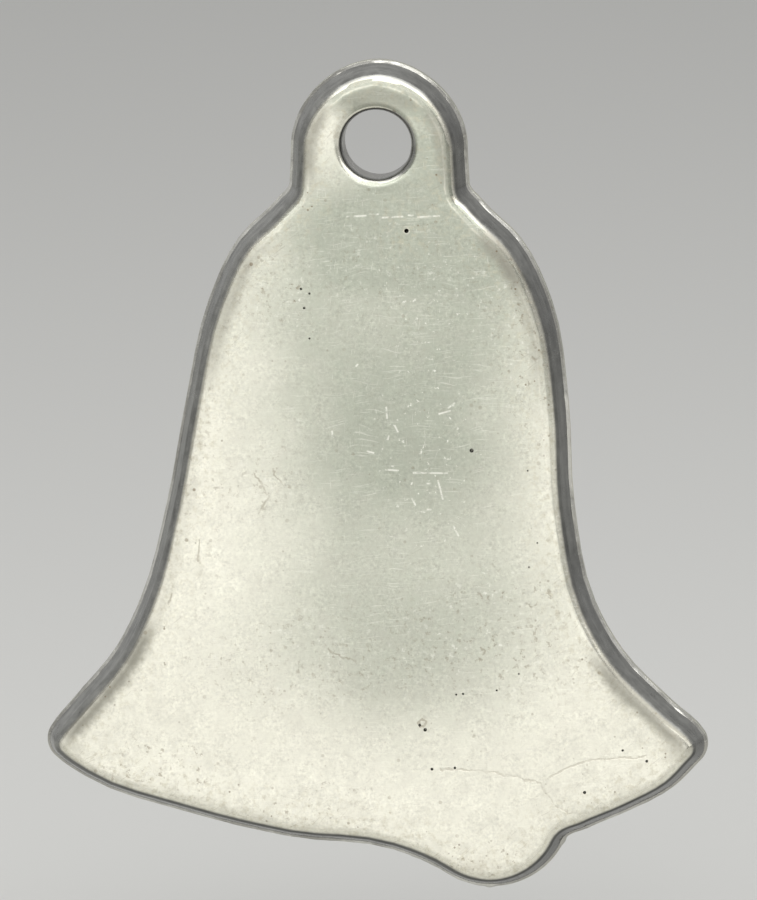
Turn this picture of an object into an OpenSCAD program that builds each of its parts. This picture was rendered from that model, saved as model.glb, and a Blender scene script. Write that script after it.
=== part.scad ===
// Flat hollow bell ornament: a pressed front shell soldered to a flat back plate, hung by a tubed eye.
// Each piece is drawn lying on its back, with its front towards +Z, and then stood up: front to -Y, top to +Z.
// The origin is the centre of the hanging hole, half way through the ornament.

/* [Hanging eye] */
// Diameter of the hanging hole
eye_bore_d = 4.5; // [3.6:0.1:5.4]
// Wall of the tube that lines the hole
eye_tube_wall = 0.5; // [0.3:0.05:0.6]
// Radius of the shell's lip, where the face turns into the hole
eye_lip_r = 0.6; // [0.55:0.05:0.9]
// Radius on the tube's back edge
eye_back_r = 0.15; // [0.05:0.05:0.25]
// Outer radius of the loop round the hole
loop_r = 5.75; // [5.4:0.05:6.2]
// How far the loop's centre lies below the hole's centre
loop_drop = 0.45; // [0:0.05:0.8]
// How round the top of the loop is, where 1 is a half circle
loop_round = 0.86; // [0.75:0.01:1]

/* [Neck and shoulders] */
// Half width of the neck, where the loop meets the bell
neck_half_w = 5.85; // [5.5:0.05:6.3]
// Depth of the neck below the hole's centre
neck_drop = 2.75; // [2:0.05:3.2]
// Width of the rounded corner between neck and shoulder
neck_fillet = 0.75; // [0.5:0.05:1]
// Half width at the shoulders
shoulder_half_w = 9.2; // [8.7:0.1:9.8]
// Depth of the shoulders
shoulder_drop = 6.4; // [5.9:0.1:6.9]

/* [Bell body] */
// Half width at the crown, below the shoulders
crown_half_w = 11.2; // [10.8:0.1:11.8]
// Depth of the crown
crown_drop = 10.5; // [9.6:0.1:11.2]
// Half width at the waist
waist_half_w = 12.5; // [11.8:0.1:13.1]
// Depth of the waist
waist_drop = 17.1; // [15.5:0.1:18.5]
// Half width at the hip, between waist and skirt
hip_half_w = 13.3; // [12.8:0.1:14.2]
// Depth of the hip
hip_drop = 23.7; // [22:0.1:25]
// Half width where the skirt starts to flare
skirt_half_w = 14.9; // [14.2:0.1:15.8]
// Depth of the start of the flare
skirt_drop = 30.3; // [29:0.1:31.4]
// How far the skirt leans to the left of the eye
body_lean = 0.97; // [0:0.01:1.5]

/* [Skirt and lip] */
// Half width of the flare
flare_half_w = 16.6; // [16:0.1:17.3]
// Depth of the flare
flare_drop = 33.5; // [32.8:0.1:34.4]
// Half width above the tips
flange_half_w = 19.6; // [19:0.1:20.2]
// Depth of the stretch above the tips
flange_drop = 36.85; // [36.2:0.05:37.4]
// Half width over the skirt's two tips
tip_half_w = 21.65; // [21:0.05:22.6]
// Depth of the tips
tip_drop = 39.6; // [39:0.1:40.2]
// Radius that the flat face keeps at the tips
tip_face_r = 0.14; // [0.1:0.02:0.4]
// Depth of the lip's lowest point
lip_drop = 46.95; // [46.4:0.05:47.5]
// Distance of the lip's lowest point to the right of the eye
lip_low_x = 4.5; // [3:0.1:6]
// Radius of the lip's left stretch
lip_left_r = 60; // [54:1:72]
// Radius of the lip's right stretch
lip_right_r = 23.5; // [22:0.5:27]

/* [Clapper] */
// Radius of the clapper's round end
clapper_r = 5.35; // [4.8:0.05:5.8]
// Distance of the clapper's centre to the right of the eye
clapper_x = 7; // [5:0.1:8]
// Depth of the clapper's centre
clapper_drop = 43.85; // [43.3:0.05:44.5]

/* [Sheet and seam] */
// Thickness of the pressed shell's sheet
shell_t = 0.5; // [0.3:0.05:0.6]
// Height of the shell over the back plate
shell_h = 2.25; // [1.8:0.05:2.8]
// Lean of the shell's wall, in degrees
wall_lean = 16; // [8:1:20]
// Radius of the rolled edge between wall and face
edge_r = 0.85; // [0.75:0.05:1]
// Thickness of the back plate
plate_t = 0.6; // [0.4:0.05:1]
// How far the back plate stands out past the shell's wall
plate_ledge = 0.12; // [0.08:0.01:0.2]
// Bare plate left outside the seam's solder
seam_margin = 0.03; // [0.02:0.005:0.05]
// Height of the seam's solder up the wall
seam_h = 0.22; // [0.15:0.01:0.35]
// Leg of the solder round the foot of the eye tube
eye_solder_leg = 0.35; // [0.2:0.05:0.6]
// Diameter of the vent pinhole that lets hot air out while the seam is soldered
vent_d = 0.3; // [0.2:0.05:0.5]
// Distance of the vent to the right of the eye
vent_x = 1.95; // [1:0.05:3]
// Depth of the vent below the eye
vent_drop = 5.6; // [5:0.1:8]

/* [Hidden] */

// Turning angle that one facet of the outline takes, and the fewest facets between two of its points
turn_step = 4.5;
min_steps = 4;
// Facets round the rolled edge, outside and inside
edge_steps = 8;
inner_edge_steps = 4;
// Facets of the small rounds that are spun about the hole
round_steps = 10;
round_fn = 96;
// How far a cutter runs past the surface that it cuts
cut_over = 1;
// Where the round tips, the notches and the clapper are pinned on their circles, in degrees
tip_top_turn = 60;
tip_low_turn = 45;
clapper_left_turn = 33;
clapper_low_turn = 20;
clapper_right_turn = 65;
// Reach of the two notches beside the clapper, as shares of its radius
notch_left = 1.18;
notch_right = 1.2;
// Where the lip's outer ends lie, inside the tips' circles
lip_left_end = 0.95;
lip_right_end = 0.65;
lip_left_spans = 3;
lip_right_spans = 2;

// The wall's slanted length, and how far the whole edge reaches in from the wall's foot
wall_len = (shell_h - edge_r * (1 - sin(wall_lean))) / cos(wall_lean);
edge_inset = wall_len * sin(wall_lean) + edge_r * cos(wall_lean);
edge_centre = [plate_ledge + edge_inset, shell_h - edge_r];
tip_r = plate_ledge + edge_inset + tip_face_r;
eye_bore_r = eye_bore_d / 2;
eye_tube_r = eye_bore_r + eye_tube_wall;
lip_ring_r = max(eye_bore_r + eye_lip_r, eye_tube_r);
mid_h = (shell_h - plate_t) / 2;

// ---- Outline of the back plate, counter-clockwise, with X to the right and Y up ----

function smooth_step(from, to, at) =
    let (t = max(0, min(1, (at - from) / (to - from))))
    t * t * (3 - 2 * t);

// The bell's middle line swings to the left in the skirt and comes back towards the lip
function lean_at(drop) =
    body_lean * (smooth_step(crown_drop, skirt_drop, drop) - smooth_step(skirt_drop, lip_drop, drop));

function lip_y(x) =
    let (radius = x < lip_low_x ? lip_left_r : lip_right_r)
    (x - lip_low_x) * (x - lip_low_x) / (2 * radius) - lip_drop;

function on_circle(centre, radius, angle) = centre + radius * [cos(angle), sin(angle)];

// A point with a set heading, the direction of travel there in degrees
function pinned(point, heading, share_out = 1, share_in = 1) =
    [point[0], point[1], heading, share_out, share_in];

stations = [
    [shoulder_half_w, shoulder_drop],
    [crown_half_w, crown_drop],
    [waist_half_w, waist_drop],
    [hip_half_w, hip_drop],
    [skirt_half_w, skirt_drop],
    [flare_half_w, flare_drop],
    [flange_half_w, flange_drop],
];
last_station = len(stations) - 1;

function station_point(side, index) =
    let (s = stations[index])
    [side * s[0] - lean_at(s[1]), -s[1]];

left_tip = [tip_r - tip_half_w - lean_at(tip_drop), -tip_drop];
right_tip = [tip_half_w - tip_r - lean_at(tip_drop), -tip_drop];
clapper = [clapper_x, -clapper_drop];
left_notch_x = clapper_x - notch_left * clapper_r;
right_notch_x = clapper_x + notch_right * clapper_r;
lip_left_x = left_tip[0] + lip_left_end;
lip_right_x = right_tip[0] - lip_right_end;

function circle_pin(centre, radius, angle) =
    pinned(on_circle(centre, radius, angle), angle + 90);

// Points without a heading take that of the circle through them and their neighbours
outline_points = concat(
    [
        pinned([loop_r, -loop_drop], 90),
        pinned([0, loop_r - loop_drop], 180, loop_round, loop_round),
        pinned([-loop_r, -loop_drop], 270),
        pinned([-neck_half_w, -neck_drop], 268),
        [-neck_half_w - neck_fillet, -neck_drop - 1.4 * neck_fillet],
    ],
    [for (i = [0 : last_station]) station_point(-1, i)],
    [
        circle_pin(left_tip, tip_r, 90 + tip_top_turn),
        circle_pin(left_tip, tip_r, 180 + tip_low_turn),
    ],
    [
        for (k = [0 : lip_left_spans])
            let (x = lip_left_x + (left_notch_x - lip_left_x) * k / lip_left_spans)
            [x, lip_y(x)],
    ],
    [
        circle_pin(clapper, clapper_r, 270 - clapper_left_turn),
        circle_pin(clapper, clapper_r, 270 + clapper_low_turn),
        circle_pin(clapper, clapper_r, 270 + clapper_right_turn),
    ],
    [
        for (k = [0 : lip_right_spans])
            let (x = right_notch_x + (lip_right_x - right_notch_x) * k / lip_right_spans)
            [x, lip_y(x)],
    ],
    [
        circle_pin(right_tip, tip_r, 360 - tip_low_turn),
        circle_pin(right_tip, tip_r, 90 - tip_top_turn),
    ],
    [for (i = [last_station : -1 : 0]) station_point(1, i)],
    [
        [neck_half_w + neck_fillet, -neck_drop - 1.4 * neck_fillet],
        pinned([neck_half_w, -neck_drop], 92),
    ]
);

function wrap(angle) = angle - 360 * floor((angle + 180) / 360);
function heading_of(v) = atan2(v[1], v[0]);
function flat(p) = [p[0], p[1]];

function heading_at(points, i) =
    let (n = len(points))
    let (here = points[i])
    let (before = flat(here) - flat(points[(i + n - 1) % n]))
    let (after = flat(points[(i + 1) % n]) - flat(here))
    let (turn = wrap(heading_of(after) - heading_of(before)))
    is_undef(here[2])
        ? heading_of(before) + turn * norm(before) / (norm(before) + norm(after))
        : here[2];

function share(p, index) = is_undef(p[index]) ? 1 : p[index];

// One curved span, whose handles follow a circle of the same turn
function span(points, i) =
    let (n = len(points))
    let (a = points[i])
    let (b = points[(i + 1) % n])
    let (heading_a = heading_at(points, i))
    let (heading_b = heading_at(points, (i + 1) % n))
    let (turn = max(abs(wrap(heading_b - heading_a)), 0.01))
    let (reach = norm(flat(b) - flat(a)) * 2 * tan(turn / 4) / (3 * sin(turn / 2)))
    let (p1 = flat(a) + share(a, 3) * reach * [cos(heading_a), sin(heading_a)])
    let (p2 = flat(b) - share(b, 4) * reach * [cos(heading_b), sin(heading_b)])
    let (steps = max(min_steps, ceil(turn / turn_step)))
    [
        for (k = [0 : steps - 1])
            let (t = k / steps)
            let (u = 1 - t)
            u * u * u * flat(a) + 3 * u * u * t * p1 + 3 * u * t * t * p2 + t * t * t * flat(b),
    ];

rim = [for (i = [0 : len(outline_points) - 1]) each span(outline_points, i)];
rim_n = len(rim);

// Directions that point into the bell at each point of the rim
inward = [
    for (i = [0 : rim_n - 1])
        let (along = rim[(i + 1) % rim_n] - rim[(i + rim_n - 1) % rim_n])
        [-along[1], along[0]] / norm(along),
];

// ---- Rings that follow the rim, each given as [distance in from the rim, height] ----

function ring_points(rings) = [
    for (r = rings)
        for (i = [0 : rim_n - 1])
            let (p = rim[i] + r[0] * inward[i])
            [p[0], p[1], r[1]],
];

function strip(j, k) = [
    for (i = [0 : rim_n - 1])
        let (i2 = (i + 1) % rim_n)
        each [
            [j * rim_n + i, k * rim_n + i, k * rim_n + i2],
            [j * rim_n + i, k * rim_n + i2, j * rim_n + i2],
        ],
];

// A point of the flat face that sees the whole of its edge, where the face's triangles meet
fan_hub = [0, -(waist_drop + hip_drop) / 2];

// Inner and outer side of the rolled edge, from the wall's foot to the flat face
outer_rings = concat(
    [[plate_ledge, 0], [plate_ledge + seam_h * tan(wall_lean), seam_h]],
    [
        for (k = [0 : edge_steps])
            let (t = wall_lean + (90 - wall_lean) * k / edge_steps)
            edge_centre + edge_r * [-cos(t), sin(t)],
    ]
);
inner_rings = concat(
    [[plate_ledge + shell_t / cos(wall_lean), 0]],
    [
        for (k = [0 : inner_edge_steps])
            let (t = wall_lean + (90 - wall_lean) * k / inner_edge_steps)
            edge_centre + (edge_r - shell_t) * [-cos(t), sin(t)],
    ]
);

module pressed_sheet() {
    outer_n = len(outer_rings);
    inner_n = len(inner_rings);
    all_n = outer_n + inner_n;
    rings = concat(outer_rings, [for (k = [inner_n - 1 : -1 : 0]) inner_rings[k]]);
    walls = [
        for (j = [0 : all_n - 1])
            if (j != outer_n - 1)
                each strip(j, (j + 1) % all_n),
    ];
    hub = all_n * rim_n;
    front = (outer_n - 1) * rim_n;
    back = outer_n * rim_n;
    fans = [
        for (i = [0 : rim_n - 1])
            let (i2 = (i + 1) % rim_n)
            each [[front + i2, front + i, hub], [back + i, back + i2, hub + 1]],
    ];
    hubs = [for (h = [shell_h, shell_h - shell_t]) [fan_hub[0], fan_hub[1], h]];
    polyhedron(points = concat(ring_points(rings), hubs), faces = concat(walls, fans));
}

// The face turns into the hole on a quarter round and ends on the tube
module turned_lip() {
    inner_r = max(eye_lip_r - shell_t, 0.02);
    rotate_extrude($fn = round_fn)
        polygon(concat(
            [
                for (k = [0 : round_steps])
                    let (t = 90 * k / round_steps)
                    [eye_bore_r + eye_lip_r * (1 - cos(t)), shell_h - eye_lip_r * (1 - sin(t))],
            ],
            [
                for (k = [round_steps : -1 : 0])
                    let (t = 90 * k / round_steps)
                    [
                        eye_bore_r + eye_lip_r - inner_r * cos(t),
                        shell_h - eye_lip_r + inner_r * sin(t),
                    ],
            ]
        ));
}

module stand_up() {
    rotate([90, 0, 0])
        translate([0, 0, -mid_h])
            children();
}

module front_shell() {
    color("silver")
        stand_up() {
            difference() {
                pressed_sheet();
                cylinder(r = eye_bore_r + eye_lip_r, h = shell_h + cut_over, $fn = round_fn);
                translate([vent_x, -vent_drop, 0])
                    cylinder(d = vent_d, h = shell_h + cut_over, $fn = 24);
            }
            turned_lip();
        }
}

module back_plate() {
    color("darkgray")
        stand_up()
            translate([0, 0, -plate_t])
                difference() {
                    linear_extrude(height = plate_t)
                        polygon(rim);
                    translate([0, 0, -cut_over])
                        cylinder(r = eye_tube_r, h = plate_t + 2 * cut_over, $fn = round_fn);
                }
}

module eye_tube() {
    color("gainsboro")
        stand_up()
            rotate_extrude($fn = round_fn)
                polygon(concat(
                    [
                        [eye_tube_r, shell_h - eye_lip_r],
                        [eye_bore_r, shell_h - eye_lip_r],
                    ],
                    [
                        for (k = [0 : round_steps])
                            let (t = 90 * k / round_steps)
                            [
                                eye_bore_r + eye_back_r * (1 - cos(t)),
                                -plate_t + eye_back_r * (1 - sin(t)),
                            ],
                    ],
                    [[eye_tube_r, -plate_t]]
                ));
}

// The seam's solder fills the corner between the ledge and the foot of the wall
module rim_solder() {
    rings = [outer_rings[1], outer_rings[0], [seam_margin, 0]];
    color("lightgray")
        stand_up()
            polyhedron(
                points = ring_points(rings),
                faces = concat(strip(0, 1), strip(1, 2), strip(2, 0))
            );
}

module eye_solder() {
    color("lightgray")
        stand_up()
            rotate_extrude($fn = round_fn)
                polygon([
                    [eye_tube_r, 0],
                    [eye_tube_r + eye_solder_leg, 0],
                    [eye_tube_r, eye_solder_leg],
                ]);
}

front_shell();
back_plate();
eye_tube();
rim_solder();
eye_solder();
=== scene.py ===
import math

import bpy
from mathutils import Matrix, Vector, kdtree, noise


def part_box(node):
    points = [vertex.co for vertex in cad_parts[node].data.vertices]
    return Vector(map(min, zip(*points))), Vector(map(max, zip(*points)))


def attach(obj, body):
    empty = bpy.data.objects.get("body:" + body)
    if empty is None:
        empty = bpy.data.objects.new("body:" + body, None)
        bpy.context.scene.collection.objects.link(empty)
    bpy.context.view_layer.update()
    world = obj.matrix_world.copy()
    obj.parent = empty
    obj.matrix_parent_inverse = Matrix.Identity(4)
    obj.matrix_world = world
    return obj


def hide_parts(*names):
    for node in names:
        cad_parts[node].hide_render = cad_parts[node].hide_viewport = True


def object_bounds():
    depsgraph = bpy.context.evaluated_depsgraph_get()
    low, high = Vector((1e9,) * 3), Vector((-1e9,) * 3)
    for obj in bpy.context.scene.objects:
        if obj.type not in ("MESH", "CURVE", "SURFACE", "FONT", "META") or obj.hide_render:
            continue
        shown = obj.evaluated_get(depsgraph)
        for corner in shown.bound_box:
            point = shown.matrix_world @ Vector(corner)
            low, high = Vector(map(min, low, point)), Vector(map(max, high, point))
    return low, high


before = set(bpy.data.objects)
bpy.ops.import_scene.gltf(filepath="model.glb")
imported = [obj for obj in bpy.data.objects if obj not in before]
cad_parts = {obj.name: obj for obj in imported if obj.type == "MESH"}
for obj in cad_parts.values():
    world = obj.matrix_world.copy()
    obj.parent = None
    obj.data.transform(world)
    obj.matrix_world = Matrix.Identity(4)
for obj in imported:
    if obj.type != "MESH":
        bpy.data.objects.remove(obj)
CAD_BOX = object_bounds()

# ---- Sizes. Pieces are shaped in millimetres and brought back to metres when they are done ----

MM = 0.001
FACE_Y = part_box("front_shell")[0].y / MM
SEAM_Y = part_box("front_shell")[1].y / MM
BACK_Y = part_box("back_plate")[1].y / MM
HEIGHT = (CAD_BOX[1].z - CAD_BOX[0].z) / MM

# How far apart two points may be and still be one, lie in one plane, or lie on a cut
MERGE = 0.0005
FLAT_TOLERANCE = 0.002
CUT_TOLERANCE = 0.00001
# Angle in degrees up to which two faces are one plane
PLANE_ANGLE = 0.4
# Angle in degrees up to which an edge is shaded smooth, and how far large faces lead the shading
SMOOTH_ANGLE = 30.0
SOLDER_SMOOTH_ANGLE = 60.0
NORMAL_WEIGHT = 80

# Spacing of the cuts in the flat sides, and the margin over which their unevenness grows
GRID_STEP = 0.7
WAVE_MARGIN = 2.5
# Waves, each with its length, its depth and its seed: two in the flat sides, one in the wall
BROAD_WAVE = (9.0, 0.05, 3.0)
SMALL_WAVE = (3.4, 0.012, 11.0)
WALL_WAVE = (3.0, 0.035, 5.0)
# How far above the seam the wall is left even
WALL_FOOT = 0.3
# Spacing of the points that mark the rim, and how far past the tube the eye's own rim may lie
RIM_STEP = 0.15
LIP_MARGIN = 0.8

# Pores in the face: right of the eye, below the eye, radius
PORES = (
    (6.10, 20.00, 0.14),
    (3.38, 41.05, 0.10),
    (4.88, 40.95, 0.09),
    (15.85, 39.70, 0.09),
    (17.42, 40.40, 0.10),
    (13.35, 42.50, 0.11),
    (-4.95, 9.45, 0.09),
    (-4.40, 9.75, 0.08),
    (-4.75, 10.70, 0.09),
    (-4.42, 12.70, 0.07),
    (2.60, 38.15, 0.10),
    (2.95, 38.45, 0.12),
    (5.00, 36.10, 0.07),
    (5.45, 36.05, 0.08),
    (7.65, 35.80, 0.07),
    (9.10, 34.70, 0.06),
    (9.75, 21.30, 0.06),
    (10.35, 26.05, 0.06),
    (9.80, 27.65, 0.06),
)
# Their depth as a multiple of their radius
PORE_DEPTH = 2.4

# Width of the back plate's broken edges
PLATE_EDGE = 0.06

# The small beads in the seam's solder, as a wave, and how often its mesh is divided for them
BEAD_WAVE = (0.9, 0.10, 7.0)
BEAD_LEVELS = 2
# The larger drops: right of the eye, below the eye, radius, height
DROPS = (
    (11.9, 46.2, 0.30, 0.14),
    (13.3, 45.0, 0.25, 0.12),
    (6.9, 49.2, 0.30, 0.12),
    (3.2, 48.0, 0.25, 0.10),
    (15.4, 43.9, 0.22, 0.08),
)

# The view: its angles in degrees, and the point in the middle of the picture
VIEW_AZIMUTH = 5.0
VIEW_ELEVATION = 9.0
VIEW_ROLL = 0.4
VIEW_CENTRE = (0.03, FACE_Y, -20.0)
# The camera: distance in metres, lens and sensor in millimetres
VIEW_DISTANCE = 1.0
VIEW_LENS = 615.4
VIEW_SENSOR = 36.0

# The studio, in metres and watts. A lamp has its size, its power and its place
FLOOR_GAP = 0.007
FLOOR_SIZE = 8.0
FLOOR_COLOUR = (0.6, 0.6, 0.58, 1)
FLOOR_ROUGHNESS = 0.9
SKY_COLOUR = (1, 1, 1, 1)
SKY_STRENGTH = 0.45
KEY_LAMP = ((1.0, 0.8), 3.9, (0.06, -0.25, 0.40))
FILL_LAMP = ((0.65, 0.5), 1.54, (-0.08, -0.75, 0.04))


# ---- Shaping ----


def select_only(piece):
    bpy.ops.object.select_all(action="DESELECT")
    piece.select_set(True)
    bpy.context.view_layer.objects.active = piece


def in_edit_mode(piece):
    select_only(piece)
    bpy.ops.object.mode_set(mode="EDIT")


def in_object_mode():
    bpy.ops.object.mode_set(mode="OBJECT")


def scale_piece(piece, factor):
    """Scales a piece about the origin and leaves its object unscaled."""
    select_only(piece)
    piece.scale = (factor, factor, factor)
    bpy.ops.object.transform_apply(location=False, rotation=False, scale=True)


def apply_modifier(piece, kind, **settings):
    select_only(piece)
    modifier = piece.modifiers.new(kind.lower(), kind)
    for key, value in settings.items():
        setattr(modifier, key, value)
    bpy.ops.object.modifier_apply(modifier=modifier.name)


def copy_of_node(node, name):
    """A merged copy of a CAD node, in millimetres."""
    piece = bpy.data.objects.new(name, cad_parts[node].data.copy())
    piece.data.name = name
    piece.data.materials.clear()
    bpy.context.scene.collection.objects.link(piece)
    scale_piece(piece, 1 / MM)
    bpy.ops.mesh.customdata_custom_splitnormals_clear()
    in_edit_mode(piece)
    bpy.ops.mesh.select_all(action="SELECT")
    bpy.ops.mesh.remove_doubles(threshold=MERGE)
    in_object_mode()
    return piece


def is_flat(piece, face, y):
    return all(abs(piece.data.vertices[i].co.y - y) < FLAT_TOLERANCE for i in face.vertices)


def select_flat(piece, y):
    """Selects the faces of a piece in edit mode that lie in the flat side at y."""
    bpy.ops.mesh.select_all(action="DESELECT")
    bpy.ops.mesh.select_mode(type="FACE")
    in_object_mode()
    for face in piece.data.polygons:
        face.select = is_flat(piece, face, y)
    bpy.ops.object.mode_set(mode="EDIT")


def refill_flat_side(piece, y):
    """Takes the flat side at y off its piece and fills it again as one clean plane."""
    for vertex in piece.data.vertices:
        if abs(vertex.co.y - y) < FLAT_TOLERANCE:
            vertex.co.y = y
    in_edit_mode(piece)
    select_flat(piece, y)
    bpy.ops.mesh.delete(type="FACE")
    bpy.ops.mesh.select_mode(type="EDGE")
    bpy.ops.mesh.select_non_manifold(extend=False, use_wire=False, use_multi_face=False,
                                     use_non_contiguous=False, use_verts=False)
    bpy.ops.mesh.fill(use_beauty=False)
    bpy.ops.mesh.select_all(action="SELECT")
    bpy.ops.mesh.dissolve_limited(angle_limit=math.radians(PLANE_ANGLE))
    bpy.ops.mesh.normals_make_consistent(inside=False)
    in_object_mode()


def grid_flat_side(piece, y):
    """Cuts the flat side at y into a grid, so that it can carry unevenness."""
    low, high = (Vector(corner) / MM for corner in CAD_BOX)
    in_edit_mode(piece)
    select_flat(piece, y)
    bpy.ops.mesh.hide(unselected=True)
    for axis in (0, 2):
        normal = Vector((0, 0, 0))
        normal[axis] = 1
        steps = int((high[axis] - low[axis]) / GRID_STEP)
        for k in range(1, steps):
            point = low.lerp(high, k / steps)
            bpy.ops.mesh.select_all(action="SELECT")
            bpy.ops.mesh.bisect(plane_co=point, plane_no=normal, threshold=CUT_TOLERANCE)
    bpy.ops.mesh.reveal(select=False)
    in_object_mode()


def edge_and_inside(piece, y):
    """Vertices on the edges of the flat side at y, and those inside it."""
    kinds = {}
    for face in piece.data.polygons:
        flat = is_flat(piece, face, y)
        for i in face.vertices:
            kinds.setdefault(i, set()).add(flat)
    edge = [i for i, found in kinds.items() if found == {True, False}]
    inside = [i for i, found in kinds.items() if found == {True}]
    return edge, inside


def points_on_rim(piece, y):
    """Points close together along the edges of the flat side at y."""
    kinds = {}
    for face in piece.data.polygons:
        flat = is_flat(piece, face, y)
        for key in face.edge_keys:
            kinds.setdefault(key, set()).add(flat)
    points = []
    for key, found in kinds.items():
        if found == {True, False}:
            start, end = (piece.data.vertices[i].co.copy() for i in key)
            count = math.ceil((end - start).length / RIM_STEP)
            points += [start.lerp(end, i / count) for i in range(count)]
    return points


def finder_of(points):
    finder = kdtree.KDTree(len(points))
    for i, point in enumerate(points):
        finder.insert(point, i)
    finder.balance()
    return finder


def wave(point, kind):
    """Height at a point of one of the waves named above."""
    length, depth, seed = kind
    return depth * noise.noise((point + Vector((seed, seed, seed))) / length)


def uneven(piece, y, outward):
    """Lets the flat side at y rise and fall, but not its edges."""
    vertices = piece.data.vertices
    edge, inside = edge_and_inside(piece, y)
    finder = finder_of([vertices[i].co for i in edge])
    broad_depth = BROAD_WAVE[1]
    for i in inside:
        point = vertices[i].co
        grown = min(1.0, finder.find(point)[2] / WAVE_MARGIN) ** 2
        rise = wave(point, BROAD_WAVE) + wave(point, SMALL_WAVE)
        point.y += outward * grown * (rise - broad_depth / 2)


def wobble_wall(piece):
    """Makes the rolled edge and the wall as uneven as sheet that was worked by hand."""
    edge, inside = edge_and_inside(piece, FACE_Y)
    still = set(edge) | set(inside)
    normals = [vertex.normal.copy() for vertex in piece.data.vertices]
    for vertex, normal in zip(piece.data.vertices, normals):
        if vertex.index in still or vertex.co.y > SEAM_Y - WALL_FOOT:
            continue
        vertex.co += normal * wave(vertex.co, WALL_WAVE)


def joined(parts, name):
    """One piece from several."""
    bpy.ops.object.select_all(action="DESELECT")
    for part in parts:
        part.select_set(True)
    bpy.context.view_layer.objects.active = parts[0]
    bpy.ops.object.join()
    parts[0].name = name
    return parts[0]


def cut_pores(piece):
    """Leaves the small, deep pores in the face."""
    finder = finder_of([vertex.co for vertex in piece.data.vertices])
    balls = []
    for right, below, radius in PORES:
        surface = finder.find((right, FACE_Y, -below))[0].y
        place = (right, surface, -below)
        bpy.ops.object.select_all(action="DESELECT")
        bpy.ops.mesh.primitive_ico_sphere_add(subdivisions=2, radius=radius, location=place)
        bpy.context.object.scale.y = PORE_DEPTH
        balls.append(bpy.context.object)
    tool = joined(balls, "pore_tool")
    select_only(tool)
    bpy.ops.object.transform_apply(location=True, rotation=True, scale=True)
    apply_modifier(piece, "BOOLEAN", operation="DIFFERENCE", solver="EXACT", object=tool)
    bpy.data.objects.remove(tool, do_unlink=True)


def mark_edge_distance(piece, finder):
    """Keeps each vertex's distance from the rim, in millimetres and negative off the face."""
    attribute = piece.data.attributes.new("edge_distance", "FLOAT", "POINT")
    face_depth = 2 * BROAD_WAVE[1]
    for vertex in piece.data.vertices:
        distance = finder.find(vertex.co)[2]
        on_face = abs(vertex.co.y - FACE_Y) < face_depth
        attribute.data[vertex.index].value = distance if on_face else -distance


def bead_up(piece):
    """Turns an even fillet into a run of small drops."""
    apply_modifier(piece, "SUBSURF", levels=BEAD_LEVELS, render_levels=BEAD_LEVELS,
                   subdivision_type="SIMPLE")
    normals = [vertex.normal.copy() for vertex in piece.data.vertices]
    for vertex, normal in zip(piece.data.vertices, normals):
        swell = max(0.0, wave(vertex.co, BEAD_WAVE))
        for right, below, radius, height in DROPS:
            away = math.hypot(vertex.co.x - right, vertex.co.z + below) / radius
            swell += height * math.exp(-away * away)
        vertex.co += normal * swell


def finish_piece(piece, node, material, smooth=SMOOTH_ANGLE):
    """Brings a shaped piece back to metres, shades it and hands it to the frame."""
    scale_piece(piece, MM)
    bpy.ops.object.shade_smooth_by_angle(angle=math.radians(smooth))
    apply_modifier(piece, "WEIGHTED_NORMAL", keep_sharp=True, weight=NORMAL_WEIGHT)
    piece.data.materials.clear()
    piece.data.materials.append(material)
    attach(piece, "root")
    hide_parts(node)


# ---- Finishes: small helpers for nodes ----


def add(tree, kind, *values, **settings):
    """Adds a node. Values go to its inputs in order: a number, a colour, or an output to link."""
    made = tree.nodes.new("ShaderNode" + kind)
    for key, value in settings.items():
        setattr(made, key, value)
    for index, value in enumerate(values):
        feed(tree, made.inputs[index], value)
    return made


def feed(tree, socket, value):
    if value is None:
        return
    if isinstance(value, bpy.types.NodeSocket):
        tree.links.new(value, socket)
    else:
        socket.default_value = value


def calc(tree, operation, *values, clamp=False):
    return add(tree, "Math", *values, operation=operation, use_clamp=clamp).outputs[0]


def product(tree, first, *others):
    for other in others:
        first = calc(tree, "MULTIPLY", first, other)
    return first


def strongest(tree, first, *others):
    for other in others:
        first = calc(tree, "MAXIMUM", first, other)
    return first


def lifted(tree, mask, least, more):
    """Least where the mask is 0, and least and more together where it is 1."""
    return calc(tree, "MULTIPLY_ADD", mask, more, least)


def swing(tree, pattern, amount, middle, clamp=False):
    """The middle value, moved up and down by clouds, which lie about a half."""
    off_middle = calc(tree, "SUBTRACT", pattern, 0.5)
    return calc(tree, "MULTIPLY_ADD", off_middle, amount, middle, clamp=clamp)


def weighted(tree, total, *parts):
    """The total and all parts, each part a value and its weight."""
    for value, weight in parts:
        total = calc(tree, "MULTIPLY_ADD", value, weight, total)
    return total


def calc_vector(tree, operation, *values):
    made = add(tree, "VectorMath", *values, operation=operation)
    return made.outputs["Value" if operation in ("DOT_PRODUCT", "LENGTH") else "Vector"]


def scaled_vector(tree, vector, factor):
    made = add(tree, "VectorMath", vector, operation="SCALE")
    feed(tree, made.inputs["Scale"], factor)
    return made.outputs["Vector"]


def joined_vector(tree, x, y, z):
    return add(tree, "CombineXYZ", x, y, z).outputs[0]


def split_vector(tree, vector):
    return add(tree, "SeparateXYZ", vector).outputs


def step(tree, value, low, high, start=0.0, end=1.0):
    """Goes smoothly from start to end as the value goes from low to high."""
    made = add(tree, "MapRange", value, low, high, start, end, interpolation_type="SMOOTHSTEP")
    return made.outputs["Result"]


# Places of the colour sockets on a Mix node
MIX_SHARE = 0
MIX_FIRST = 6
MIX_SECOND = 7
MIX_RESULT = 2


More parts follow.
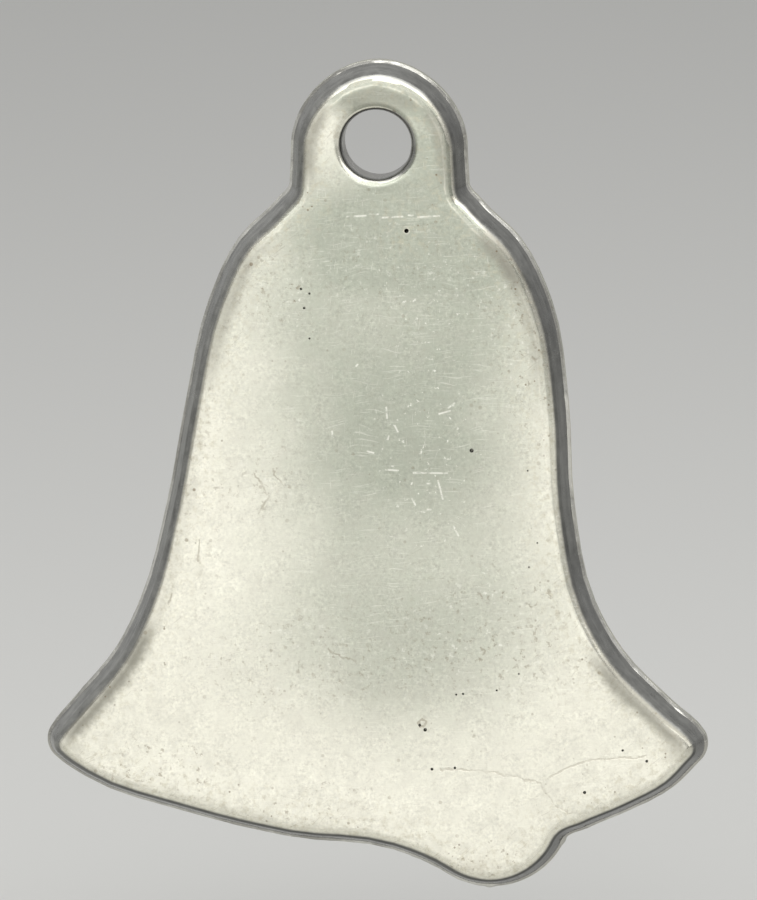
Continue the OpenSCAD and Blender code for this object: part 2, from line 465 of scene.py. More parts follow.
def blend(tree, share, first, second, how="MIX"):
    made = tree.nodes.new("ShaderNodeMix")
    made.data_type = "RGBA"
    made.blend_type = how
    feed(tree, made.inputs[MIX_SHARE], share)
    feed(tree, made.inputs[MIX_FIRST], first)
    feed(tree, made.inputs[MIX_SECOND], second)
    return made.outputs[MIX_RESULT]


def clouds(tree, place, scale, detail=3.0, roughness=0.55):
    made = add(tree, "TexNoise", place, noise_dimensions="3D")
    made.inputs["Scale"].default_value = scale
    made.inputs["Detail"].default_value = detail
    made.inputs["Roughness"].default_value = roughness
    return made.outputs["Fac"]


def cloud_mask(tree, place, low, high, start=0.0, end=1.0, **pattern):
    """A mask made of clouds, from start where they are low to end where they are high."""
    return step(tree, clouds(tree, place, **pattern), low, high, start, end)


def drifted(tree, place, scale, reach):
    """The place moved to and fro by clouds, so that what is drawn on it wanders."""
    drift = calc(tree, "SUBTRACT", clouds(tree, place, scale), 0.5)
    sway = joined_vector(tree, drift, 0.0, drift)
    return calc_vector(tree, "ADD", place, scaled_vector(tree, sway, reach))


def new_group(name, inputs, outputs):
    """An empty node group. Inputs and outputs are given as name: kind."""
    tree = bpy.data.node_groups.new(name, "ShaderNodeTree")
    for sockets, direction in ((inputs, "INPUT"), (outputs, "OUTPUT")):
        for label, kind in sockets.items():
            tree.interface.new_socket(label, in_out=direction, socket_type="NodeSocket" + kind)
    return tree, tree.nodes.new("NodeGroupInput").outputs, tree.nodes.new("NodeGroupOutput").inputs


def use(tree, group, **values):
    """Places a node group and feeds its inputs by name."""
    made = tree.nodes.new("ShaderNodeGroup")
    made.node_tree = group
    for label, value in values.items():
        feed(tree, made.inputs[label], value)
    return made.outputs


# ---- Finishes: effects that several metals share ----

# Scratches wander by this much, in clouds of this scale, and fade over this much of the clouds
STREAK_DRIFT = 1.5
STREAK_DRIFT_SCALE = 0.25
STREAK_FADE = 0.06
# A speck's radius, least and what chance adds, and its soft border, as shares of the spacing
SPECK_LEAST = 0.05
SPECK_MORE = 0.14
SPECK_FADE = 0.08
# A stroke is full up to one and gone from the other of these shares of its half width
STROKE_FULL = 0.5
STROKE_GONE = 1.6


def make_streaks():
    """Fine scratches of uneven length that run one way. A higher cut leaves fewer of them."""
    tree, given, result = new_group(
        "streaks",
        {"Place": "Vector", "Turn": "Float", "Length": "Float", "Width": "Float", "Cut": "Float"},
        {"Mask": "Float"},
    )
    drift = add(tree, "TexNoise", given["Place"])
    drift.inputs["Scale"].default_value = STREAK_DRIFT_SCALE
    sway = scaled_vector(tree, drift.outputs["Color"], STREAK_DRIFT)
    turned = add(tree, "VectorRotate", calc_vector(tree, "ADD", given["Place"], sway),
                 rotation_type="AXIS_ANGLE")
    turned.inputs["Axis"].default_value = (0, 1, 0)
    feed(tree, turned.inputs["Angle"], given["Turn"])
    parts = split_vector(tree, turned.outputs["Vector"])
    along = calc(tree, "DIVIDE", parts["X"], given["Length"])
    across = calc(tree, "DIVIDE", parts["Z"], given["Width"])
    lines = clouds(tree, joined_vector(tree, along, across, 0.0), 1.0, detail=1.0)
    full = calc(tree, "ADD", given["Cut"], STREAK_FADE)
    feed(tree, result["Mask"], step(tree, lines, given["Cut"], full))
    return tree


def make_specks():
    """Scattered round specks. Only the given share of the spots carries one."""
    tree, given, result = new_group(
        "specks",
        {"Place": "Vector", "Spacing": "Float", "Share": "Float"},
        {"Mask": "Float"},
    )
    spacing = joined_vector(tree, *[given["Spacing"]] * 3)
    grid = add(tree, "TexVoronoi", calc_vector(tree, "DIVIDE", given["Place"], spacing),
               feature="F1")
    grid.inputs["Scale"].default_value = 1.0
    chance = add(tree, "SeparateColor", grid.outputs["Color"]).outputs
    radius = lifted(tree, chance["Green"], SPECK_LEAST, SPECK_MORE)
    past = calc(tree, "SUBTRACT", grid.outputs["Distance"], radius)
    dot = step(tree, past, 0.0, SPECK_FADE, 1.0, 0.0)
    kept = calc(tree, "LESS_THAN", chance["Red"], given["Share"])
    feed(tree, result["Mask"], product(tree, dot, kept))
    return tree


def make_patch():
    """A soft oval patch, given by its centre and its half sizes."""
    tree, given, result = new_group(
        "patch",
        {"Place": "Vector", "Centre": "Vector", "Half_sizes": "Vector", "Softness": "Float"},
        {"Mask": "Float"},
    )
    out_from = calc_vector(tree, "SUBTRACT", given["Place"], given["Centre"])
    reach = calc_vector(tree, "LENGTH", calc_vector(tree, "DIVIDE", out_from, given["Half_sizes"]))
    full = calc(tree, "SUBTRACT", 1.0, given["Softness"])
    gone = calc(tree, "ADD", 1.0, given["Softness"])
    feed(tree, result["Mask"], step(tree, reach, full, gone, 1.0, 0.0))
    return tree


def make_stroke():
    """One straight scratch or crack from start to end."""
    tree, given, result = new_group(
        "stroke",
        {"Place": "Vector", "Start": "Vector", "End": "Vector", "Half_width": "Float"},
        {"Mask": "Float"},
    )
    out_from = calc_vector(tree, "SUBTRACT", given["Place"], given["Start"])
    run = calc_vector(tree, "SUBTRACT", given["End"], given["Start"])
    share = calc(tree, "DIVIDE", calc_vector(tree, "DOT_PRODUCT", out_from, run),
                 calc_vector(tree, "DOT_PRODUCT", run, run), clamp=True)
    nearest = scaled_vector(tree, run, share)
    gap = calc_vector(tree, "LENGTH", calc_vector(tree, "SUBTRACT", out_from, nearest))
    full = product(tree, given["Half_width"], STROKE_FULL)
    gone = product(tree, given["Half_width"], STROKE_GONE)
    feed(tree, result["Mask"], step(tree, gap, full, gone, 1.0, 0.0))
    return tree


STREAKS = make_streaks()
SPECKS = make_specks()
PATCH = make_patch()
STROKE = make_stroke()


def scratches(tree, place, turn, length, width, cut):
    return use(tree, STREAKS, Place=place, Turn=turn, Length=length, Width=width, Cut=cut)["Mask"]


def specks(tree, place, spacing, share):
    return use(tree, SPECKS, Place=place, Spacing=spacing, Share=share)["Mask"]


def strokes(tree, place, runs, half_width):
    """Masks of all strokes in the runs, each run a chain of points right of and below the eye."""
    masks = []
    for run in runs:
        for (x1, d1), (x2, d2) in zip(run, run[1:]):
            made = use(tree, STROKE, Place=place, Start=(x1, 0, -d1), End=(x2, 0, -d2),
                       Half_width=half_width)
            masks.append(made["Mask"])
    return strongest(tree, *masks)


def patches(tree, place, ovals, softness):
    """Sum of soft ovals, each (right, below, half width, half height, strength)."""
    total = 0.0
    for right, below, half_width, half_height, strength in ovals:
        made = use(tree, PATCH, Place=place, Centre=(right, 0, -below),
                   Half_sizes=(half_width, 1, half_height), Softness=softness)
        total = weighted(tree, total, (made["Mask"], strength))
    return calc(tree, "MINIMUM", total, 1.0)


# ---- Finishes: what the metals have in common ----

# Object coordinates are in metres
PER_MM = 1 / MM
METALLIC = 0.9
RELIEF_STRENGTH = 0.35
RELIEF_DEPTH = 0.02

PALE = (0.95, 0.94, 0.86, 1)
BROWN = (0.22, 0.17, 0.11, 1)


def new_metal(name):
    """A metal, with its shader and its coordinates in millimetres."""
    material = bpy.data.materials.new(name)
    material.use_nodes = True
    tree = material.node_tree
    shader = tree.nodes["Principled BSDF"]
    shader.inputs["Metallic"].default_value = METALLIC
    place = add(tree, "Mapping", tree.nodes.new("ShaderNodeTexCoord").outputs["Object"])
    place.inputs["Scale"].default_value = (PER_MM, PER_MM, PER_MM)
    return material, tree, shader, place.outputs[0]


def feed_relief(tree, shader, height):
    relief = add(tree, "Bump")
    relief.inputs["Strength"].default_value = RELIEF_STRENGTH
    relief.inputs["Distance"].default_value = RELIEF_DEPTH * MM
    feed(tree, relief.inputs["Height"], height)
    feed(tree, shader.inputs["Normal"], relief.outputs[0])


# ---- Finishes: the pressed front ----
# Lengths are in millimetres, and the scale of clouds is per millimetre. Where clouds are made a
# mask, low and high are the levels of the clouds at which it has its start and its end value.
# An oval is given right of the eye and below it, by its half width, half height and strength.
# A stroke is a chain of points, each right of the eye and below it.

CREAM = (0.86, 0.84, 0.73, 1)
# Partly tarnish, partly painted shade and darker reflection
DULL_AND_PAINTED_SHADE = (0.42, 0.44, 0.365, 1)
# Tint of the wall's painted shade
WALL_SHADE_TINT = (1.0, 1.0, 0.94, 1)
# Colour of the painted shade over the roll and in the loop's ring
PAINTED_SHADE = (0.29, 0.28, 0.235, 1)
YELLOWED = (0.55, 0.51, 0.38, 1)

# Shared patterns: clouds over all, fine grain, crusts of tarnish
MOTTLE = {"scale": 1.1, "detail": 6.0, "roughness": 0.68}
GRAIN = {"scale": 4.8, "detail": 3.0, "roughness": 0.7}
CRUST = {"scale": 2.2, "detail": 5.0, "roughness": 0.7}
# How far patches and fine lines wander, and the scale of the clouds that they wander by
PATCH_DRIFT = {"scale": 0.16, "reach": 5.0}
LINE_DRIFT = {"scale": 1.4, "reach": 0.7}
# The worn band inside the edge of the face, by the distance from the edge
EDGE_BAND = {"low": 0.0, "high": 3.2, "start": 1.0, "end": 0.0}
# Softness of the ovals in which flecks and crumbs crowd
CROWD_SOFTNESS = 0.5

# Dull patches of the face, partly tarnish and partly painted shade and darker reflection, with
# their borders, their mottling and where they end at the edge
DULL_AND_SHADE_OVALS = (
    (1.2, 11.5, 9.5, 11.5, 0.70),
    (1.8, 27.0, 8.5, 11.0, 0.57),
    (4.0, 4.6, 8.0, 4.0, 0.52),
    (4.6, -0.5, 3.0, 4.0, 0.55),
    (0.3, -3.7, 6.0, 2.0, 1.0),
    (7.0, 8.0, 5.0, 7.0, 0.22),
    (1.0, 32.5, 11.0, 5.0, 0.2),
    (-5.0, 9.0, 7.0, 6.0, 0.12),
)
DULL_AND_SHADE_SOFTNESS = 0.6
DULL_AND_SHADE_SWING = 0.6
DULL_AND_SHADE_END = {"low": -0.1, "high": 0.15}

# How much the mottle and the grain change the tone, and where the grain is strong
TONE_SWING = 0.5
GRAIN_SWING = {"scale": 0.7, "low": 0.35, "high": 0.65, "start": 0.2, "end": 0.8}

# Fine scratches: the level and upright ones catch the light, the slanted ones hold dirt
LEVEL_SCRATCHES = {"turn": 0.04, "length": 2.0, "width": 0.09, "cut": 0.62}
UPRIGHT_SCRATCHES = {"turn": 1.5, "length": 1.1, "width": 0.09, "cut": 0.66}
SLANTED_SCRATCHES = {"turn": 0.7, "length": 1.5, "width": 0.08, "cut": 0.67}
RUBBED = {"scale": 0.5, "low": 0.42, "high": 0.60, "start": 0.3, "end": 1.0}
# Strength of the light scratches by the dull and painted-shade mask, of the dark ones near the
# edge
LIGHT_SCRATCH_STRENGTH = {"least": 0.04, "more": 0.20}
DARK_SCRATCH_STRENGTH = {"least": 0.12, "more": 0.14}

# Light flecks, and where they crowd
FLECKS = {"scale": 2.6, "detail": 4.0, "roughness": 0.6, "low": 0.61, "high": 0.68}
FLECK_OVALS = (
    (3.2, 19.0, 3.0, 8.0, 0.9),
    (4.0, 9.0, 6.0, 4.0, 0.5),
)
FLECK_STRENGTH = {"least": 0.10, "more": 0.58}

# Single light scratches, broken up into dashes
LIGHT_STROKES = (
    ((-1.9, 4.70), (-0.7, 4.62)),
    ((-0.4, 4.50), (0.1, 4.52)),
    ((0.4, 4.74), (1.7, 4.66)),
    ((2.1, 4.58), (2.4, 4.60)),
    ((2.7, 4.70), (4.1, 4.60)),
    ((0.5, 21.3), (1.3, 21.35)),
    ((2.3, 21.5), (4.5, 21.5)),
    ((3.9, 22.0), (4.2, 23.2)),
    ((3.2, 23.9), (3.4, 23.9)),
    ((4.9, 25.0), (5.2, 25.6)),
    ((0.65, 19.3), (0.7, 19.1)),
    ((4.0, 17.6), (4.7, 17.4)),
    ((-1.4, 14.5), (-1.3, 14.4)),
    ((1.1, 18.4), (1.3, 18.8)),
    ((-3.0, 18.8), (-2.95, 19.2)),
    ((4.3, 20.6), (4.7, 20.55)),
    ((0.55, 17.2), (0.6, 17.9)),
    ((-0.7, 20.1), (-0.3, 20.2)),
    ((2.2, 23.2), (2.4, 23.6)),
    ((4.6, 17.2), (5.0, 16.9)),
    ((3.2, 22.2), (3.4, 22.2)),
)
DASHES = {"scale": 1.5, "detail": 5.0, "roughness": 0.7, "low": 0.36, "high": 0.54}
LIGHT_STROKE_HALF_WIDTH = 0.055
LIGHT_STROKE_STRENGTH = 0.6

# The forked hairline over the clapper, single dark scratches, and how the mottle breaks both up
HAIRLINES = (
    ((3.97, 41.0), (6.11, 41.1), (8.78, 41.5), (10.47, 42.0), (11.44, 43.4), (12.7, 43.9)),
    ((10.8, 41.7), (12.0, 41.0), (13.5, 40.4), (17.3, 40.1)),
)
DARK_STROKES = (
    ((-11.7, 26.0), (-11.8, 27.4)),
    ((-13.6, 29.6), (-13.7, 30.2)),
    ((-8.0, 21.6), (-7.3, 23.0)),
    ((-6.9, 21.3), (-6.3, 22.2)),
    ((-7.8, 24.2), (-7.2, 23.2)),
    ((-3.4, 33.2), (-1.6, 34.0)),
    ((2.55, 37.9), (2.75, 37.75), (3.0, 37.9), (2.95, 38.15), (2.7, 38.2), (2.55, 37.9)),
    ((6.6, 33.0), (6.9, 33.2), (6.8, 33.4)),
)
BROKEN = {"low": 0.36, "high": 0.56, "start": 0.35}
DARK_STROKE_HALF_WIDTH = 0.06
HAIRLINE_STRENGTH = 0.30
DARK_STROKE_STRENGTH = 0.45

# Specks of dirt in two sizes, stronger near the edge and in patches
SMALL_SPECKS = {"spacing": 0.55, "share": 0.16}
FINE_SPECKS = {"spacing": 0.30, "share": 0.16}
SPECK_STRENGTH = {"least": 0.32, "more": 0.50}
SPECK_PATCHES = {"scale": 0.45, "low": 0.42, "high": 0.62}
SPECK_PATCHINESS = {"least": 0.25, "more": 0.75}

# Dark crumbs of tarnish on the crust's peaks, gleams in its hollows, and where both crowd
CRUMBS = {"low": 0.55, "high": 0.62}
GLEAMS = {"low": 0.36, "high": 0.44, "start": 1.0, "end": 0.0}
CRUMB_OVALS = (
    (-5.1, 10.1, 1.2, 1.4, 0.8),
    (-7.4, 21.9, 2.2, 2.0, 0.7),
    (-11.5, 21.0, 1.6, 9.0, 0.5),
    (-8.0, 9.0, 3.5, 4.0, 0.5),
    (-5.0, 34.0, 7.0, 3.0, 0.6),
    (-14.0, 41.0, 4.5, 1.6, 0.9),
    (-5.0, 43.6, 3.5, 1.2, 0.8),
    (8.0, 32.0, 6.5, 4.0, 0.8),
    (10.0, 11.5, 2.4, 7.5, 0.9),
    (2.0, 8.0, 6.0, 4.0, 0.35),
    (6.5, 47.0, 3.0, 1.4, 0.9),
    (2.8, 38.0, 0.6, 0.6, 1.0),
)
CRUMB_PATCHES = {"scale": 0.9, "low": 0.40, "high": 0.60, "start": 0.2, "end": 1.2}
CRUMB_STRENGTH = {"least": 0.08, "more": 0.42}

# Brown tarnish in the two tips and under the clapper, and a yellowed stain near the edge
BROWN_OVALS = (
    (19.0, 39.6, 1.3, 1.0, 0.6),
    (-20.3, 40.3, 1.0, 0.7, 0.5),
    (6.3, 47.4, 1.6, 0.7, 0.5),
)
BROWN_SOFTNESS = 0.6
BROWN_MOTTLE = {"low": 0.40, "high": 0.62}
BROWN_STRENGTH = 0.5
STAIN = {"scale": 2.1, "detail": 4.0, "roughness": 0.7, "low": 0.48, "high": 0.66}
STAIN_STRENGTH = {"least": 0.04, "more": 0.42}

# Stretches of the edge with a grey-brown painted shade over the roll, with a ragged border
SHADED_OVALS = (
    (-13.0, 8.0, 6.0, 8.0, 0.6),
    (-15.0, 24.0, 5.0, 10.0, 0.25),
    (-19.0, 35.5, 6.0, 4.2, 1.0),
    (12.0, 8.0, 5.0, 8.0, 0.5),
    (9.0, 6.8, 2.8, 2.4, 0.5),
    (19.0, 35.5, 5.5, 4.2, 0.9),
    (-5.2, -1.6, 2.2, 4.2, 0.8),
    (5.2, -1.4, 2.2, 4.2, 0.6),
)
SHADED_SOFTNESS = 0.3
SHADED_BAND = {"low": 0.0, "high": 0.95, "start": 0.95, "end": 0.0}
SHADED_SWING = 0.7
# Painted shade: the darker ring between the eye and the loop's edge
RING_OVALS = ((0.2, -3.4, 4.2, 1.2, 0.5),)
RING_SOFTNESS = 0.4
RING_END = {"low": 0.0, "high": 0.3}

# Painted shade standing for the wall's dark reflection: where it starts and is full, how much
# sooner it starts on what faces left, and its brightness on a level wall and the painted light
# added with the wall's turn up and to the left
WALL_START = -0.84
WALL_FULL = -0.62
WALL_SOONER_LEFT = 0.38
WALL_SHADE_LEVEL = 0.24
WALL_PAINTED_LIGHT_UP = 0.16
WALL_PAINTED_LIGHT_LEFT = 0.07
# The wall's streaks: their scale along the rim and across it, and how much they change its tone
DRAWN_ALONG = 0.35
DRAWN_ACROSS = 2.5
DRAWN_SWING = 1.0
WALL_MOTTLE_SWING = 1.2

# Roughness: its middle and swing, and how dirt, shade and the smooth roll change it
SHELL_ROUGHNESS = 0.38
ROUGHNESS_SWING = 0.16
DIRT_ROUGHER = 0.2
SHADE_ROUGHER = 0.12
ROLL_ROUGHER = -0.19
ROLL = {"low": -0.995, "high": -0.93}
# How each pattern stands up from the sheet or lies in it
MOTTLE_HEIGHT = 0.6
GRAIN_HEIGHT = 0.35
SCRATCH_HEIGHT = -0.25
HAIRLINE_HEIGHT = -0.8
CRUMB_HEIGHT = -1.2


# Partly tarnish, partly painted shade and darker reflection: the darkened middle, the loop's top
# and the upper left
def dull_and_painted_shade_patches(tree, moved, mottle, edge):
    dull_and_shade = patches(tree, moved, DULL_AND_SHADE_OVALS, DULL_AND_SHADE_SOFTNESS)
    dull_and_shade = swing(tree, mottle, DULL_AND_SHADE_SWING, dull_and_shade, clamp=True)
    return product(tree, dull_and_shade, step(tree, edge, **DULL_AND_SHADE_END))


def light_marks(tree, flat, moved, dull_and_shade, scratched):
    """Scratches, flecks and single strokes that catch the light."""
    worn = product(tree, scratched, cloud_mask(tree, flat, **RUBBED),
                   lifted(tree, dull_and_shade, **LIGHT_SCRATCH_STRENGTH))
    crowd = patches(tree, moved, FLECK_OVALS, CROWD_SOFTNESS)
    flecks = product(tree, cloud_mask(tree, flat, **FLECKS),
                     lifted(tree, crowd, **FLECK_STRENGTH))
    single = product(tree, strokes(tree, flat, LIGHT_STROKES, LIGHT_STROKE_HALF_WIDTH),
                     cloud_mask(tree, flat, **DASHES), LIGHT_STROKE_STRENGTH)
    return strongest(tree, worn, flecks, single)


def dirt_specks(tree, flat, near_edge):
    both = strongest(tree, specks(tree, flat, **SMALL_SPECKS), specks(tree, flat, **FINE_SPECKS))
    patchy = lifted(tree, cloud_mask(tree, flat, **SPECK_PATCHES), **SPECK_PATCHINESS)
    return product(tree, both, lifted(tree, near_edge, **SPECK_STRENGTH), patchy)


def crumb_crowd(tree, flat, moved):
    """How strongly the crumbs and the gleams between them show."""
    crowd = product(tree, patches(tree, moved, CRUMB_OVALS, CROWD_SOFTNESS),
                    cloud_mask(tree, flat, **CRUMB_PATCHES))
    return lifted(tree, crowd, **CRUMB_STRENGTH)


def brown_tarnish(tree, moved, mottle):
    return product(tree, patches(tree, moved, BROWN_OVALS, BROWN_SOFTNESS),
                   step(tree, mottle, **BROWN_MOTTLE), BROWN_STRENGTH)


def painted_shade_of_roll(tree, flat, mottle, edge):
    """The grey-brown painted shade along the edge, and the painted darker ring in the loop."""
    ragged = swing(tree, mottle, SHADED_SWING, edge)
    along_edge = product(tree, step(tree, ragged, **SHADED_BAND),
                         patches(tree, flat, SHADED_OVALS, SHADED_SOFTNESS))
    ring = product(tree, step(tree, edge, **RING_END),
                   patches(tree, flat, RING_OVALS, RING_SOFTNESS))
    return strongest(tree, along_edge, ring)


def painted_wall_shade_mask(tree, directions):
    """Where the wall's painted shade goes: 1 on the wall and 0 on the face, growing over the
    rolled edge.
    """
    leftward = strongest(tree, product(tree, directions["X"], -1.0), 0.0)
    turned = weighted(tree, directions["Y"], (leftward, WALL_SOONER_LEFT))
    return step(tree, turned, WALL_START, WALL_FULL)


def painted_wall_shade(tree, flat, edge, mottle, directions):
    """The wall's painted shade and dark reflection, drawn along the rim, with painted light where
    it faces up and to the left.
    """
    parts = split_vector(tree, scaled_vector(tree, flat, DRAWN_ALONG))
    across = product(tree, edge, DRAWN_ACROSS)
    drawn = clouds(tree, joined_vector(tree, parts["X"], across, parts["Z"]), 1.0)
    tone = swing(tree, mottle, WALL_MOTTLE_SWING, swing(tree, drawn, DRAWN_SWING, 1.0))
    brightness = weighted(tree, WALL_SHADE_LEVEL, (directions["Z"], WALL_PAINTED_LIGHT_UP),
                          (directions["X"], -WALL_PAINTED_LIGHT_LEFT))
    return blend(tree, 1.0, WALL_SHADE_TINT, product(tree, tone, brightness), "MULTIPLY")


def shell_finish():
    """Worn, once bright sheet: a middle dulled partly by tarnish and partly by painted shade and
    darker reflection, brighter sides, scratches, specks, and walls painted dark as painted shade
    and reflection.
    """
    material, tree, shader, place = new_metal("shell_metal")
    # The place as seen from the front, whatever its depth
    flat = calc_vector(tree, "MULTIPLY", place, (1, 0, 1))
    moved = drifted(tree, flat, **PATCH_DRIFT)
    bent = drifted(tree, flat, **LINE_DRIFT)
    directions = split_vector(tree, tree.nodes.new("ShaderNodeTexCoord").outputs["Normal"])
    edge = add(tree, "Attribute", attribute_name="edge_distance").outputs["Fac"]
    near_edge = step(tree, edge, **EDGE_BAND)
    mottle = clouds(tree, place, **MOTTLE)
    grain = clouds(tree, place, **GRAIN)
    crust = clouds(tree, flat, **CRUST)

    # The dull patches darken the cream: partly tarnish, partly painted shade and darker reflection
    dull_and_shade = dull_and_painted_shade_patches(tree, moved, mottle, edge)
    grain_swing = cloud_mask(tree, flat, **GRAIN_SWING)
    tone = swing(tree, grain, grain_swing, swing(tree, mottle, TONE_SWING, 1.0))
    colour = blend(tree, 1.0, blend(tree, dull_and_shade, CREAM, DULL_AND_PAINTED_SHADE), tone, "MULTIPLY")

    scratched = strongest(tree, scratches(tree, flat, **LEVEL_SCRATCHES),
                          scratches(tree, flat, **UPRIGHT_SCRATCHES))
    colour = blend(tree, light_marks(tree, flat, moved, dull_and_shade, scratched), colour, PALE)

    broken = step(tree, mottle, **BROKEN)
    hairlines = product(tree, strokes(tree, bent, HAIRLINES, DARK_STROKE_HALF_WIDTH), broken)
    dark_marks = product(tree, strokes(tree, bent, DARK_STROKES, DARK_STROKE_HALF_WIDTH), broken)
    dark_scratches = product(tree, scratches(tree, flat, **SLANTED_SCRATCHES),
                             lifted(tree, near_edge, **DARK_SCRATCH_STRENGTH))
    crowd = crumb_crowd(tree, flat, moved)
    crumbs = product(tree, step(tree, crust, **CRUMBS), crowd)
    dirt = strongest(
        tree,
        product(tree, hairlines, HAIRLINE_STRENGTH),
        product(tree, dark_marks, DARK_STROKE_STRENGTH),
        dark_scratches,
        dirt_specks(tree, flat, near_edge),
        crumbs,
        brown_tarnish(tree, moved, mottle),
    )
    gleams = product(tree, step(tree, crust, **GLEAMS), crowd)
    stain = product(tree, cloud_mask(tree, flat, **STAIN),
                    lifted(tree, near_edge, **STAIN_STRENGTH))
    shade = painted_shade_of_roll(tree, flat, mottle, edge)
    colour = blend(tree, gleams, colour, PALE)
    colour = blend(tree, stain, colour, YELLOWED)
    # Painted shade over the roll and in the loop's ring
    colour = blend(tree, shade, colour, PAINTED_SHADE)
    colour = blend(tree, dirt, colour, BROWN)
    # Painted shade: the wall is painted dark as its dark reflection, lighter where it faces up and
    # to the left
    colour = blend(tree, painted_wall_shade_mask(tree, directions), colour,
                   painted_wall_shade(tree, flat, edge, mottle, directions))
    feed(tree, shader.inputs["Base Color"], colour)

    rough = swing(tree, mottle, ROUGHNESS_SWING, SHELL_ROUGHNESS)
    rolled = step(tree, directions["Y"], **ROLL)
    rough = weighted(tree, rough, (dirt, DIRT_ROUGHER), (rolled, ROLL_ROUGHER),
                     (shade, SHADE_ROUGHER))
    feed(tree, shader.inputs["Roughness"], rough)

    height = weighted(tree, 0.0, (mottle, MOTTLE_HEIGHT), (grain, GRAIN_HEIGHT),
                      (scratched, SCRATCH_HEIGHT), (hairlines, HAIRLINE_HEIGHT),
                      (crumbs, CRUMB_HEIGHT))
    feed_relief(tree, shader, height)
    return material


# ---- Finishes: the plainer metals ----

# Bright and tarnished colour of each
PLATE_COLOURS = ((0.72, 0.71, 0.62, 1), (0.52, 0.52, 0.45, 1))
TUBE_COLOURS = ((0.42, 0.41, 0.37, 1), (0.25, 0.25, 0.22, 1))
SOLDER_COLOURS = ((0.85, 0.84, 0.78, 1), (0.45, 0.44, 0.40, 1))

PLAIN_MOTTLE = {"scale": 0.7, "detail": 6.0, "roughness": 0.7}
PLAIN_GRAIN = {"scale": 5.5, "detail": 2.0}
# Broad clouds that shift the tarnish, by how much, and where it starts and is full
BROAD_CLOUDS = {"scale": 0.11, "detail": 2.0}
BROAD_SWING = 1.6
TARNISH = {"low": 0.25, "high": 0.78}
PLAIN_TONE_SWING = 0.25
PLAIN_ROUGHNESS_SWING = 0.2
LONG_SCRATCHES = {"turn": 0.3, "length": 4.0, "width": 0.10, "cut": 0.62}
SHORT_SCRATCHES = {"turn": 1.9, "length": 1.6, "width": 0.09, "cut": 0.65}
PLAIN_SCRATCH_HEIGHT = -0.3
PLAIN_SPECKS = {"spacing": 0.7, "share": 0.15}
PLAIN_SPECK_STRENGTH = 0.4


def plain_finish(name, bright, dark, roughness, rubbed):
    """A plainer worn metal: clouds of tarnish, long fine scratches, a few specks."""
    material, tree, shader, place = new_metal(name)
    mottle = clouds(tree, place, **PLAIN_MOTTLE)
    grain = clouds(tree, place, **PLAIN_GRAIN)
    brightness = swing(tree, clouds(tree, place, **BROAD_CLOUDS), BROAD_SWING, mottle)
    colour = blend(tree, step(tree, brightness, **TARNISH), dark, bright)
    tone = swing(tree, grain, PLAIN_TONE_SWING, 1.0)
    colour = blend(tree, 1.0, colour, tone, "MULTIPLY")
    scratched = strongest(tree, scratches(tree, place, **LONG_SCRATCHES),
                          scratches(tree, place, **SHORT_SCRATCHES))
    colour = blend(tree, product(tree, scratched, rubbed), colour, PALE)
    dirt = product(tree, specks(tree, place, **PLAIN_SPECKS), PLAIN_SPECK_STRENGTH)
    colour = blend(tree, dirt, colour, BROWN)
    feed(tree, shader.inputs["Base Color"], colour)
    rough = swing(tree, mottle, PLAIN_ROUGHNESS_SWING, roughness)
    feed(tree, shader.inputs["Roughness"], rough)
    height = weighted(tree, mottle, (grain, GRAIN_HEIGHT), (scratched, PLAIN_SCRATCH_HEIGHT))
    feed_relief(tree, shader, height)
    return material


# ---- Pressed front ----

front = copy_of_node("front_shell", "pressed_front")
refill_flat_side(front, FACE_Y)
lip_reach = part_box("eye_tube")[1].x / MM + LIP_MARGIN
rim_finder = finder_of([at for at in points_on_rim(front, FACE_Y) if at.length > lip_reach])
grid_flat_side(front, FACE_Y)
wobble_wall(front)
uneven(front, FACE_Y, -1)
cut_pores(front)
mark_edge_distance(front, rim_finder)
finish_piece(front, "front_shell", shell_finish())

# ---- Back plate ----

back = copy_of_node("back_plate", "backing_plate")
refill_flat_side(back, BACK_Y)
apply_modifier(back, "BEVEL", width=PLATE_EDGE, segments=2, limit_method="ANGLE")
grid_flat_side(back, BACK_Y)
uneven(back, BACK_Y, 1)
plate_metal = plain_finish("plate_metal", *PLATE_COLOURS, roughness=0.40, rubbed=0.16)
finish_piece(back, "back_plate", plate_metal)

# ---- Eye tube ----

eye = copy_of_node("eye_tube", "hanging_eye")
tube_metal = plain_finish("tube_metal", *TUBE_COLOURS, roughness=0.28, rubbed=0.25)
finish_piece(eye, "eye_tube", tube_metal)

# ---- Solder ----

bead = copy_of_node("rim_solder", "rim_bead")
bead_up(bead)
solder_metal = plain_finish("solder_metal", *SOLDER_COLOURS, roughness=0.24, rubbed=0.30)
finish_piece(bead, "rim_solder", solder_metal, SOLDER_SMOOTH_ANGLE)

eye_bead = copy_of_node("eye_solder", "eye_bead")
finish_piece(eye_bead, "eye_solder", solder_metal, SOLDER_SMOOTH_ANGLE)

# ---- Floor, lamps and camera ----


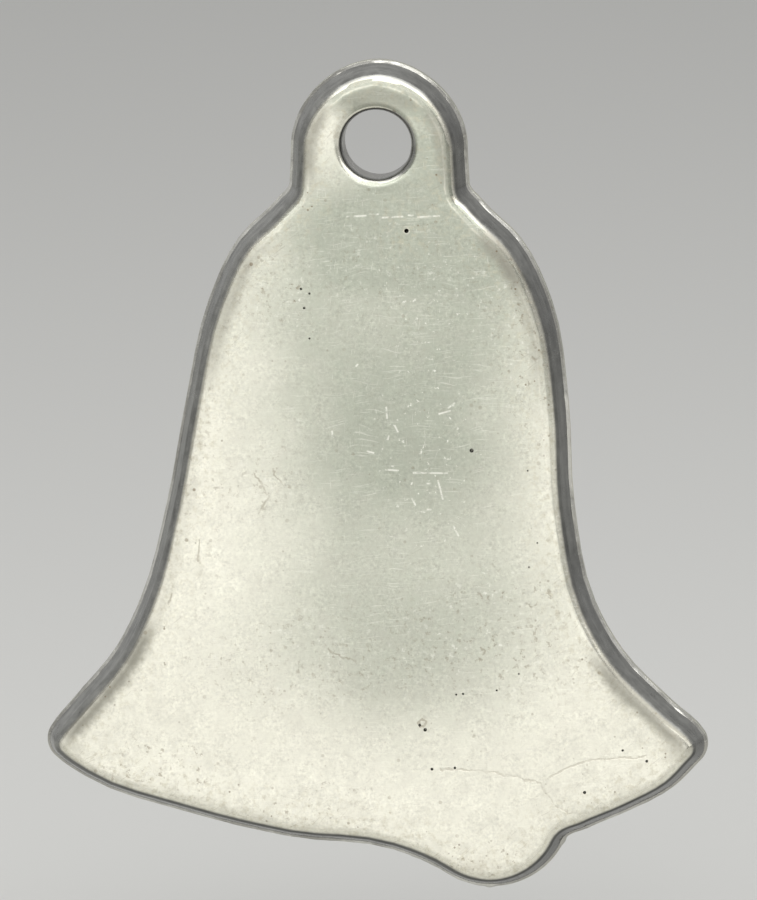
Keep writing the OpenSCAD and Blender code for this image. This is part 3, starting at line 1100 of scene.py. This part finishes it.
def lamp(name, size, power, place):
    """A soft lamp that shines on the middle of the ornament."""
    light = bpy.data.lights.new(name, "AREA")
    light.shape = "RECTANGLE"
    light.size, light.size_y = size
    light.energy = power
    holder = bpy.data.objects.new(name, light)
    bpy.context.scene.collection.objects.link(holder)
    holder.location = place
    middle = Vector((0, 0, -HEIGHT / 2 * MM))
    holder.rotation_euler = (middle - Vector(place)).to_track_quat("-Z", "Y").to_euler()


bpy.ops.object.select_all(action="DESELECT")
bpy.ops.mesh.primitive_plane_add(size=FLOOR_SIZE, location=(0, 0, CAD_BOX[0].z - FLOOR_GAP))
floor = bpy.context.object
floor.name = "floor"
paper = bpy.data.materials.new("floor_paper")
paper.use_nodes = True
paper_shader = paper.node_tree.nodes["Principled BSDF"]
paper_shader.inputs["Base Color"].default_value = FLOOR_COLOUR
paper_shader.inputs["Roughness"].default_value = FLOOR_ROUGHNESS
floor.data.materials.append(paper)

world = bpy.data.worlds.new("studio")
bpy.context.scene.world = world
world.use_nodes = True
sky = world.node_tree.nodes["Background"]
sky.inputs["Color"].default_value = SKY_COLOUR
sky.inputs["Strength"].default_value = SKY_STRENGTH

lamp("key", *KEY_LAMP)
lamp("fill", *FILL_LAMP)

azimuth, elevation = math.radians(VIEW_AZIMUTH), math.radians(VIEW_ELEVATION)
away = Vector((
    math.sin(azimuth) * math.cos(elevation),
    -math.cos(azimuth) * math.cos(elevation),
    math.sin(elevation),
))
camera_data = bpy.data.cameras.new("camera")
camera_data.sensor_width = VIEW_SENSOR
camera_data.lens = VIEW_LENS
camera = bpy.data.objects.new("camera", camera_data)
bpy.context.scene.collection.objects.link(camera)
camera.location = Vector(VIEW_CENTRE) * MM + away * VIEW_DISTANCE
facing = (-away).to_track_quat("-Z", "Y").to_matrix().to_4x4()
camera.rotation_euler = (facing @ Matrix.Rotation(math.radians(-VIEW_ROLL), 4, "Z")).to_euler()
bpy.context.scene.camera = camera
bpy.context.scene.view_settings.view_transform = "Standard"

bpy.context.view_layer.update()
